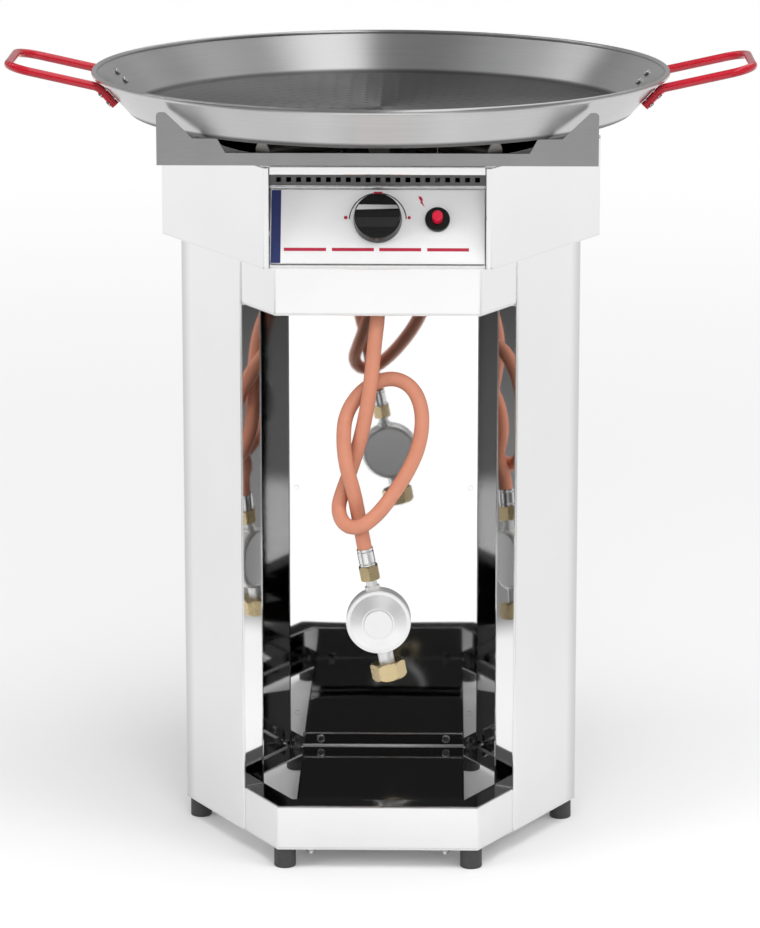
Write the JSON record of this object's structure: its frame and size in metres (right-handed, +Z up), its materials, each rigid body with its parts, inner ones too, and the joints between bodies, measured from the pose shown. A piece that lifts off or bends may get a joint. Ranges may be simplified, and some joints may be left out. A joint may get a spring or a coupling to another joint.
{
  "type": "gas burner stand with pan",
  "caption": "Free-standing hexagonal gas burner stand in polished steel with a sloping control panel, a wide shallow pan with loop handles on top and a knotted hose with regulator.",
  "frame": {"origin": "on the floor, under the centre of the pan", "axes": "+Z up, -Y to the front with the control panel, +X to the right as seen from the front"},
  "size_m": [0.775, 0.6, 0.8265],
  "materials": {
    "polished_steel": "mirror-polished stainless sheet",
    "satin_steel": "satin stainless plate",
    "pan_steel": "polished steel with a brushed floor",
    "bright_fasteners": "zinc-plated and bright",
    "burner_steel": "bright tube, dulled by heat",
    "cast_iron": "as cast",
    "printed_fascia": "satin sheet with printed marks",
    "black_plastic": "glossy moulded",
    "red_button": "translucent glossy",
    "red_enamel": "glossy enamel on steel rod",
    "foot_rubber": "matt moulded rubber",
    "hose_rubber": "smooth orange rubber",
    "seal_rubber": "black rubber",
    "ceramic": "glazed white ceramic",
    "ferrule_steel": "crimped plated steel",
    "cast_zinc": "satin cast zinc",
    "brass": "turned brass"
  },
  "bodies": {
    "stand": {"back_panel": "polished_steel", "back_screws": "bright_fasteners", "base_plinth": "polished_steel", "bottle_gasket": "seal_rubber", "bottle_stem": "cast_zinc", "box_floor": "polished_steel", "box_screws": "bright_fasteners", "burner_arms": "burner_steel", "burner_box": "polished_steel", "burner_caps": "burner_steel", "burner_hub": "cast_iron", "button_spring": "bright_fasteners", "control_fascia": "printed_fascia", "control_panel": "polished_steel", "diaphragm": "seal_rubber", "electrode_insulator": "ceramic", "feet": "foot_rubber", "flame_sensor": "bright_fasteners", "floor_bolts": "bright_fasteners", "floor_nuts": "bright_fasteners", "floor_plate": "polished_steel", "foot_nuts": "bright_fasteners", "foot_studs": "bright_fasteners", "front_apron": "polished_steel", "front_pan_support": "satin_steel", "gas_hose": "hose_rubber", "gas_valve": "cast_zinc", "hub_bracket": "satin_steel", "igniter_bezel": "black_plastic", "ignition_lead": "seal_rubber", "injector": "brass", "inlet_connector": "brass", "left_side_panel": "polished_steel", "lower_ferrule": "ferrule_steel", "mixing_tube": "burner_steel", "piezo_body": "black_plastic", "piezo_nut": "bright_fasteners", "rear_pan_support": "satin_steel", "regulator_body": "cast_zinc", "regulator_cover": "cast_zinc", "regulator_spring": "bright_fasteners", "right_side_panel": "polished_steel", "sensor_bracket": "satin_steel", "spark_electrode": "bright_fasteners", "supply_pipe": "burner_steel", "top_plate": "polished_steel", "union_nut": "brass", "upper_ferrule": "ferrule_steel", "vent_strip": "satin_steel"},
    "pan": {"pan": "pan_steel", "left_handle": "red_enamel", "right_handle": "red_enamel", "handle_rivets": "bright_fasteners"},
    "plug": {"valve_plug": "brass", "valve_spring": "bright_fasteners"},
    "knob": {"valve_stem": "bright_fasteners", "control_knob": "black_plastic"},
    "button": {"igniter_button": "red_button"},
    "bottle_nut": {"bottle_nut": "brass"},
    "air_sleeve": {"air_shutter": "burner_steel"}
  },
  "joints": [
    {"name": "pan_lift", "type": "slide", "parent": "stand", "child": "pan", "axis": [0, 0, 1], "range_m": [0, 0.08]},
    {"name": "knob_turn", "type": "hinge", "parent": "stand", "child": "plug", "pos_m": [0, -0.17566, 0.68372], "axis": [0, -0.891, 0.454], "range_deg": [0, 180]},
    {"name": "knob_push", "type": "slide", "parent": "plug", "child": "knob", "axis": [0, 0.891, -0.454], "range_m": [0, 0.003], "stiffness_N_per_m": 1500, "springref_m": -0.002, "deforming": ["valve_spring"]},
    {"name": "button_push", "type": "slide", "parent": "stand", "child": "button", "axis": [0, 0.891, -0.454], "range_m": [0, 0.005], "stiffness_N_per_m": 1200, "springref_m": -0.002, "deforming": ["button_spring"]},
    {"name": "bottle_nut_spin", "type": "hinge", "parent": "stand", "child": "bottle_nut", "pos_m": [0.01132, -0.1965, 0.2215], "axis": [0.1871, 0, -0.9823], "continuous": true},
    {"name": "air_shutter_slide", "type": "slide", "parent": "stand", "child": "air_sleeve", "axis": [0, -1, 0], "range_m": [0, 0.01]}
  ]
}
